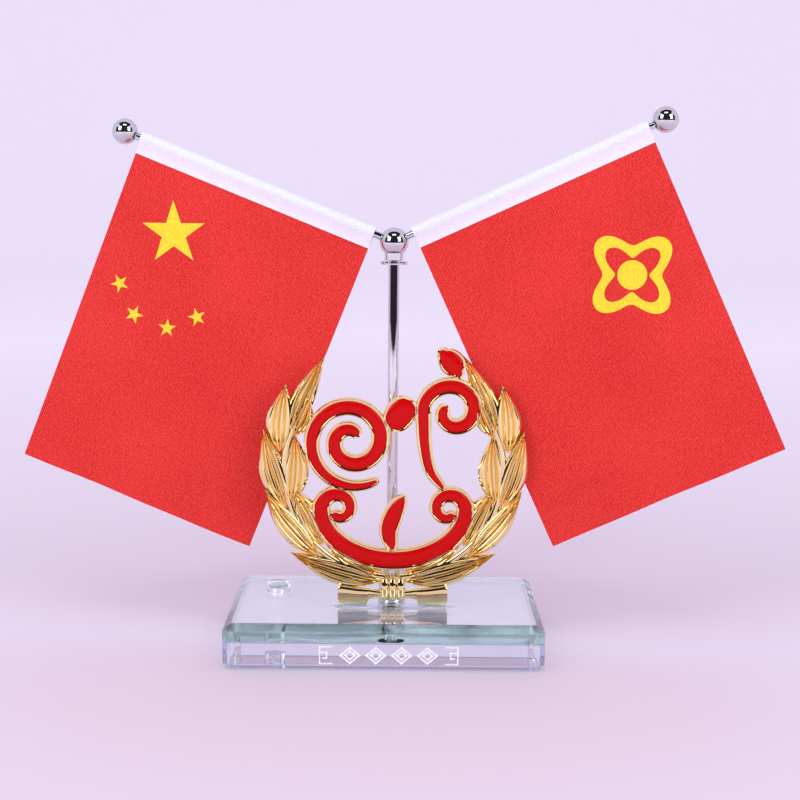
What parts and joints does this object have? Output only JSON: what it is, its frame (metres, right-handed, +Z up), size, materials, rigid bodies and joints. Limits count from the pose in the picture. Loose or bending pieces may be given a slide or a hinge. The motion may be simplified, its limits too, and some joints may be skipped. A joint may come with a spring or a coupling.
{
  "type": "desk flag stand",
  "caption": "Desk flag stand: cloth flags on splayed rods above a two-layer bevelled glass base, with a gilt wreath emblem and a perfume well.",
  "frame": {"origin": "on the table, at the middle of the overall box seen from above; the pole's axis is 1.8 mm to its left and 0.7 mm in front of it", "axes": "+X to the viewer's right along the glass base's long side, +Y away from the viewer, +Z up"},
  "size_m": [0.2458, 0.0628, 0.1735],
  "materials": {
    "green_crystal": "polished crystal glass, pale sea green",
    "clear_crystal": "polished clear crystal glass",
    "clear_plastic": "clear moulded plastic",
    "clear_glue": "clear cured adhesive",
    "steel": "zinc-plated steel",
    "chrome": "bright chrome plate",
    "gilt": "bright gold plate on a zinc casting",
    "red_enamel": "domed soft enamel, glossy",
    "red_cloth": "printed satin-weave polyester",
    "white_cloth": "thin white polyester tape"
  },
  "bodies": {
    "stand": {"base_plate": "green_crystal", "base_block": "clear_crystal", "screw_washer": "steel", "base_screw": "steel", "pole_ferrule": "chrome", "main_pole": "chrome", "pole_flange": "chrome", "emblem_casting": "gilt", "enamel_left_scroll": "red_enamel", "enamel_right_scroll": "red_enamel", "enamel_bud": "red_enamel", "enamel_pearl": "red_enamel", "enamel_flame": "red_enamel", "enamel_ribbon": "red_enamel", "emblem_glue": "clear_glue"},
    "plug": {"perfume_plug": "clear_plastic"},
    "head": {"head_ball": "chrome"},
    "left_rod_set": {"left_rod": "chrome", "left_finial": "chrome"},
    "right_rod_set": {"right_rod": "chrome", "right_finial": "chrome"},
    "left_flag_set": {"left_flag": "red_cloth", "left_flag_sleeve": "white_cloth"},
    "right_flag_set": {"right_flag": "red_cloth", "right_flag_sleeve": "white_cloth"}
  },
  "joints": [
    {"name": "plug_pull", "type": "slide", "parent": "stand", "child": "plug", "axis": [0, 0, 1], "range_m": [0, 0.01]},
    {"name": "head_swivel", "type": "hinge", "parent": "stand", "child": "head", "pos_m": [-0.00182, -0.0007, 0.1308], "axis": [0, 0, 1], "range_deg": [-1, 9]},
    {"name": "left_rod_pull", "type": "slide", "parent": "head", "child": "left_rod_set", "axis": [-0.9275, 0.0649, 0.3681], "range_m": [0, 0.006]},
    {"name": "right_rod_pull", "type": "slide", "parent": "head", "child": "right_rod_set", "axis": [0.9063, -0.0634, 0.4179], "range_m": [0, 0.006]},
    {"name": "left_flag_swing", "type": "hinge", "parent": "left_rod_set", "child": "left_flag_set", "pos_m": [-0.00182, -0.0007, 0.1308], "axis": [0.9275, -0.0649, -0.3681], "range_deg": [-0.5, 90]},
    {"name": "right_flag_swing", "type": "hinge", "parent": "right_rod_set", "child": "right_flag_set", "pos_m": [-0.00182, -0.0007, 0.1308], "axis": [0.9063, -0.0634, 0.4179], "range_deg": [-0.5, 90]}
  ]
}
